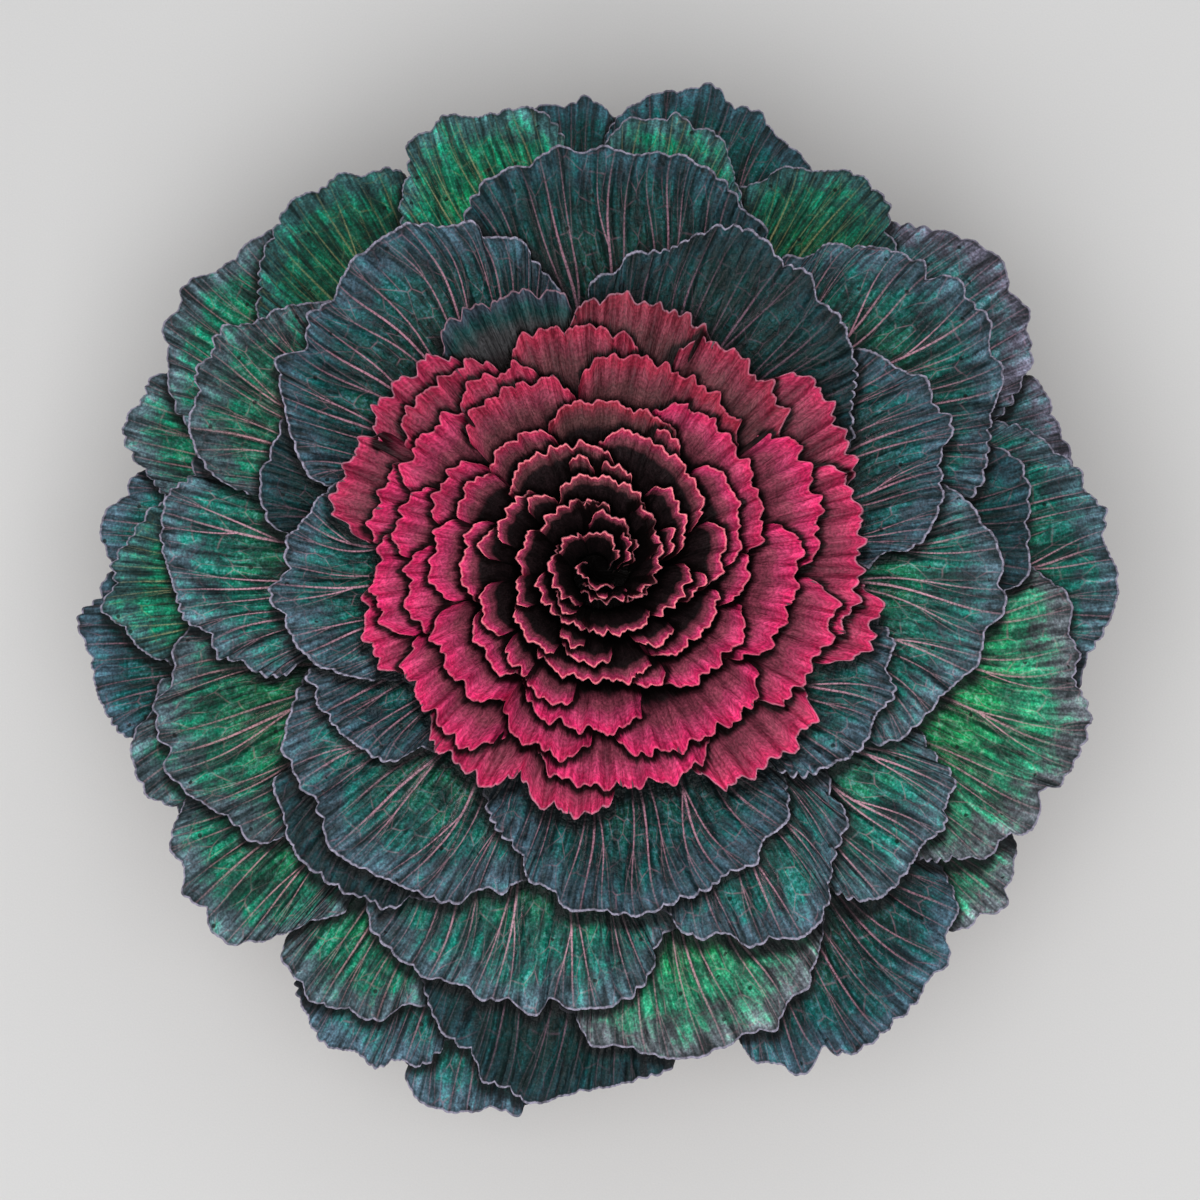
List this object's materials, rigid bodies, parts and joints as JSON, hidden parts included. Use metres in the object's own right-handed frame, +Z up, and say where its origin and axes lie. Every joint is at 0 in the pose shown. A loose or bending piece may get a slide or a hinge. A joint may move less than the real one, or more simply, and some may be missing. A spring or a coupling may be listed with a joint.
{
  "type": "potted ornamental kale",
  "caption": "Ornamental kale in a plain clay pot: broad green leaves in rings, with scalloped margins, round a dense head of frilled red leaves.",
  "frame": {"origin": "middle of the pot's flat underside, on the stem's axis", "axes": "+Z up along the stem, -Y towards the viewer of the picture, +X to the picture's right"},
  "size_m": [0.3424, 0.3463, 0.289],
  "materials": {
    "clay": "matt, unglazed, slightly rough",
    "soil": "matt, crumbly",
    "stem": "matt, smooth between leaf scars",
    "leaf_slate": "waxy, soft sheen, blue-green with a slate margin",
    "leaf_green": "waxy, soft sheen, green with a purple-grey margin",
    "leaf_red": "waxy, soft sheen, crimson margin and dark maroon base"
  },
  "bodies": {
    "root": {"pot": "clay", "soil": "soil", "stem": "stem", "inner_leaf_01": "leaf_slate", "inner_leaf_02": "leaf_slate", "inner_leaf_03": "leaf_slate", "inner_leaf_04": "leaf_slate", "inner_leaf_05": "leaf_slate", "inner_leaf_06": "leaf_slate", "inner_leaf_07": "leaf_slate", "inner_leaf_08": "leaf_slate", "inner_leaf_09": "leaf_slate", "middle_leaf_01": "leaf_slate", "middle_leaf_02": "leaf_slate", "middle_leaf_03": "leaf_slate", "middle_leaf_04": "leaf_slate", "middle_leaf_05": "leaf_slate", "middle_leaf_06": "leaf_slate", "middle_leaf_07": "leaf_slate", "middle_leaf_08": "leaf_slate", "middle_leaf_09": "leaf_slate", "middle_leaf_10": "leaf_slate", "middle_leaf_11": "leaf_slate", "middle_leaf_12": "leaf_slate", "outer_leaf_01": "leaf_green", "outer_leaf_02": "leaf_green", "outer_leaf_03": "leaf_green", "outer_leaf_04": "leaf_green", "outer_leaf_05": "leaf_green", "outer_leaf_06": "leaf_green", "outer_leaf_07": "leaf_green", "outer_leaf_08": "leaf_green", "outer_leaf_09": "leaf_green", "outer_leaf_10": "leaf_green", "outer_leaf_11": "leaf_green", "outer_leaf_12": "leaf_green", "outer_leaf_13": "leaf_green", "outer_leaf_14": "leaf_green", "outer_leaf_15": "leaf_green", "outer_leaf_16": "leaf_green", "outer_leaf_17": "leaf_green", "outer_leaf_18": "leaf_green", "outer_leaf_19": "leaf_green", "outer_leaf_20": "leaf_green", "outer_leaf_21": "leaf_green", "outer_leaf_22": "leaf_green", "outer_leaf_23": "leaf_green", "red_head": "leaf_red"}
  },
  "joints": []
}
